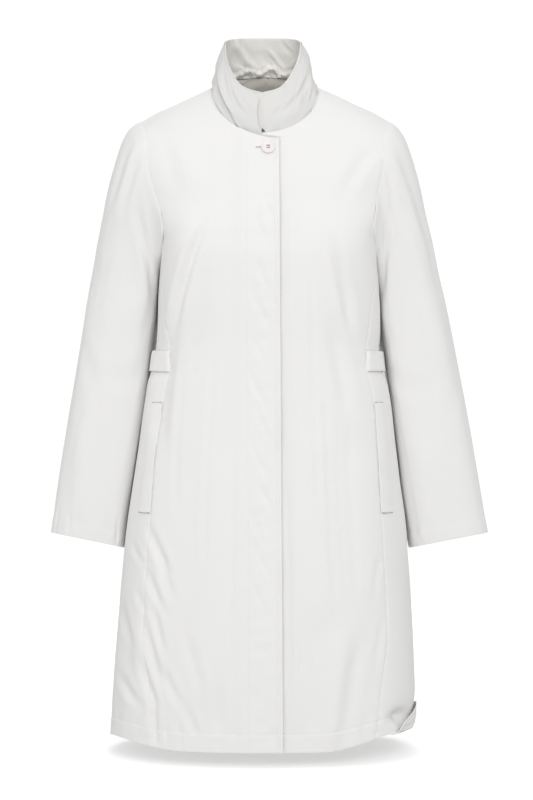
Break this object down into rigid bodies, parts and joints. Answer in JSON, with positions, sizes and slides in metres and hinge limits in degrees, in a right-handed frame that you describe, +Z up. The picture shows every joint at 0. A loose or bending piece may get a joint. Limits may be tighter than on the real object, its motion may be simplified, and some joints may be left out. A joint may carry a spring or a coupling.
{
  "type": "raincoat",
  "caption": "Knee-length raincoat filled out with no wearer: stand collar lapped at the front, concealed fly with a button at the neck, set-in sleeves, half belt and welt pockets.",
  "frame": {"origin": "middle of the neck, level with the points where the shoulder seams meet the collar", "axes": "+Z up along the coat, -Y the front of the coat, +X the wearer's left"},
  "size_m": [0.6568, 0.322, 1.0535],
  "materials": {
    "coat_cloth": "matt, closely woven off-white cloth",
    "facing_cloth": "matt woven cloth, a shade darker",
    "lining_cloth": "smooth grey-beige lining",
    "button_plastic": "polished, slightly pink white"
  },
  "bodies": {
    "root": {"front_right": "coat_cloth", "front_left": "coat_cloth", "back_right": "coat_cloth", "back_left": "coat_cloth", "sleeve_right": "coat_cloth", "sleeve_left": "coat_cloth", "collar": "coat_cloth", "collar_facing": "facing_cloth", "back_neck_lining": "lining_cloth", "half_belt": "coat_cloth", "pocket_welt_right": "coat_cloth", "pocket_welt_left": "coat_cloth", "button": "button_plastic"}
  },
  "joints": []
}
